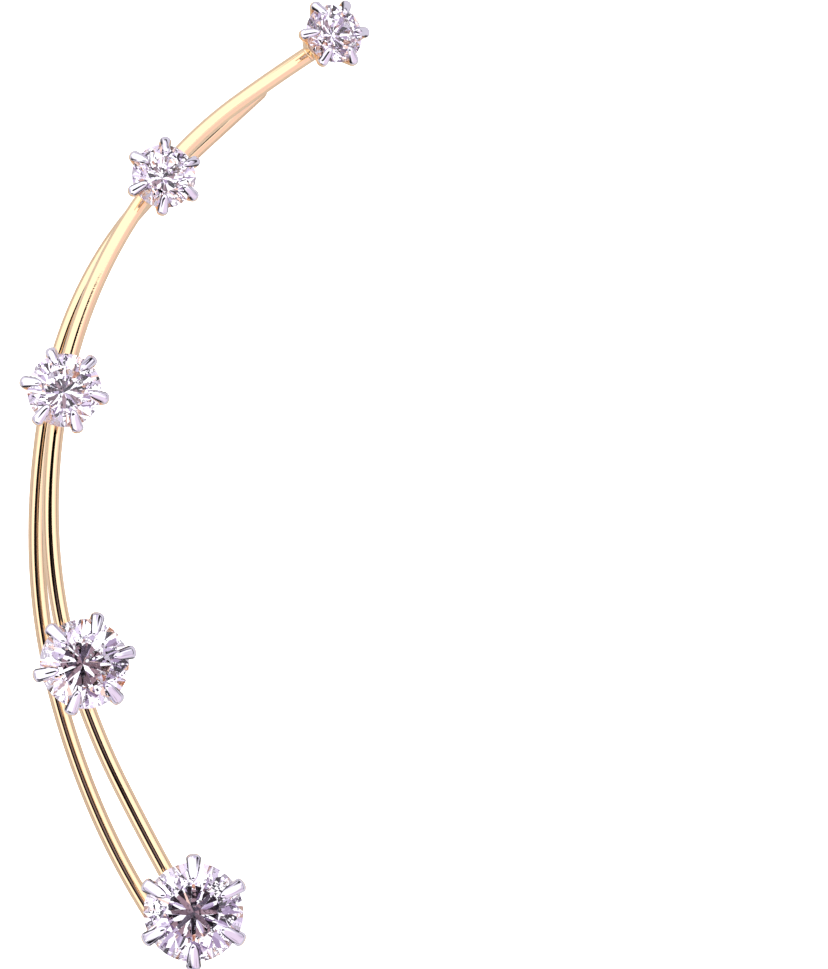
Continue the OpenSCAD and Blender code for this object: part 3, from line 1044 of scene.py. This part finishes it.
beads = []
for row in STONES:
    matrix = stone_matrix(*row)
    to_stone = matrix.inverted()
    ring_z, ring_r = ring_foot(row[0]), RING_SHARE * row[0] / 2 + RING_WALL / 2
    centre, way = wire_near(matrix @ Vector((0, 0, ring_z)))
    centre, way = to_stone @ centre, to_stone.to_3x3() @ way
    for side in (-1, 1):
        line = bead_path(centre, way, ring_r, side, ring_z)
        if len(line) >= BEAD_LEAST_POINTS:
            beads.append([matrix @ point for point in line])
bead_mesh = harvest(mesh_path(beads, "bead_paths"), sweeping, {
    "Radius": BEAD_R, "First end": BEAD_R, "Last end": BEAD_R, "Sides": BEAD_SIDES,
    "Finish": solder,
})
solder_beads = piece_from(bead_mesh, "solder_beads")
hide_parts("climber_frame")
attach(solder_beads, "root")
print(f"{len(beads)} beads of solder")

# %% [markdown]
# ## The cut of the stones
# A brilliant is a trap for light. Its flat facets bend a ray in, mirror it twice off the
# back and send it out of the top. Smooth shading or a bevel would blur that, so the packed
# stones stay as they are: every facet is already a true plane. They only need glass with the
# high refractive index of the real stones. The girdle is the one part that a cutter leaves
# frosted. Its faces look sideways, away from the stone's axis, and a small group finds them
# by that and puts out how rough they are. The lap that polishes the facets leaves them a
# trace less than flat, so the group also puts out a normal that sways very slightly. A white
# tent lays a pale veil over a stone. Photographers cut it with a filter on the lens, and here
# the stones' surface gloss is tinted darker for it.

# %% Give the stones clear, bright glass with a frosted girdle
STONE_IOR = 2.16
STONE_TINT = (0.93, 0.895, 1.0, 1.0)
SURFACE_GLOSS = (0.42, 0.40, 0.46, 1.0)
FROST = 0.35
# A face is the girdle's where its normal leans along the axis by less than this
GIRDLE_LEAN = (0.1, 0.2)
SWELL = 0.02
SWELLS_PER_MM = 3.5


def facet_polish():
    """A group that puts out the roughness and the normal of a cut stone's faces."""
    tree = bpy.data.node_groups.new("facet_polish", "ShaderNodeTree")
    socket_in(tree, "Axis", "NodeSocketVector", (0.0, 0.0, 1.0))
    socket_in(tree, "Frost", "NodeSocketFloat", FROST)
    tree.interface.new_socket("Roughness", in_out="OUTPUT", socket_type="NodeSocketFloat")
    tree.interface.new_socket("Normal", in_out="OUTPUT", socket_type="NodeSocketVector")
    given = add(tree, "NodeGroupInput").outputs
    place = add(tree, "ShaderNodeTexCoord").outputs["Object"]
    swells = add(tree, "ShaderNodeTexNoise", {
        "Vector": place, "Scale": SWELLS_PER_MM / MM, "Detail": 1.0,
    })
    centred = add(tree, "ShaderNodeVectorMath", {
        0: swells.outputs["Color"], 1: (0.5, 0.5, 0.5),
    }, operation="SUBTRACT").outputs[0]
    true = add(tree, "ShaderNodeNewGeometry").outputs["Normal"]
    swayed = add(tree, "ShaderNodeVectorMath", {
        0: centred, 1: (SWELL,) * 3, 2: true,
    }, operation="MULTIPLY_ADD").outputs[0]
    straight = add(tree, "ShaderNodeVectorMath", {0: swayed}, operation="NORMALIZE").outputs[0]
    normal = add(tree, "ShaderNodeTexCoord").outputs["Normal"]
    upward = add(tree, "ShaderNodeVectorMath", {0: normal, 1: given["Axis"]},
                 operation="DOT_PRODUCT").outputs["Value"]
    rough = add(tree, "ShaderNodeMapRange", {
        "Value": calc(tree, "ABSOLUTE", upward),
        "From Min": GIRDLE_LEAN[0], "From Max": GIRDLE_LEAN[1],
        "To Min": given["Frost"], "To Max": 0.0,
    }).outputs["Result"]
    add(tree, "NodeGroupOutput", {"Roughness": rough, "Normal": straight})
    return tree


polish = facet_polish()


def clear_stone(number, axis):
    """The glass of one stone, whose girdle is found by the stone's axis."""
    material = bpy.data.materials.new(f"clear_stone_{number}")
    material.use_nodes = True
    tree = material.node_tree
    surface = tree.nodes["Principled BSDF"]
    surface.inputs["Base Color"].default_value = STONE_TINT
    surface.inputs["Transmission Weight"].default_value = 1.0
    surface.inputs["IOR"].default_value = STONE_IOR
    surface.inputs["Specular Tint"].default_value = SURFACE_GLOSS
    cut = add(tree, "ShaderNodeGroup", node_tree=polish)
    cut.inputs["Axis"].default_value = axis
    tree.links.new(cut.outputs["Roughness"], surface.inputs["Roughness"])
    tree.links.new(cut.outputs["Normal"], surface.inputs["Normal"])
    return material


for number, row in enumerate(STONES, 1):
    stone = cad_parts[f"stone_{number}"]
    axis = stone_matrix(*row).to_3x3() @ Vector((0, 0, 1))
    for slot in stone.material_slots:
        slot.material = clear_stone(number, axis)
    print(f"stone_{number}: {len(stone.data.polygons)} faces")

# %% [markdown]
# ## The size of the jewel
# The boxes of the imported jewel and of the dressed one are both printed. The dressed jewel
# may not be larger than the imported one.

# %% Write both boxes and finish
new_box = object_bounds()
for name, (low, high) in (("packed", cad_box), ("dressed", new_box)):
    print(name, [round(side / MM, 2) for side in high - low], "mm")
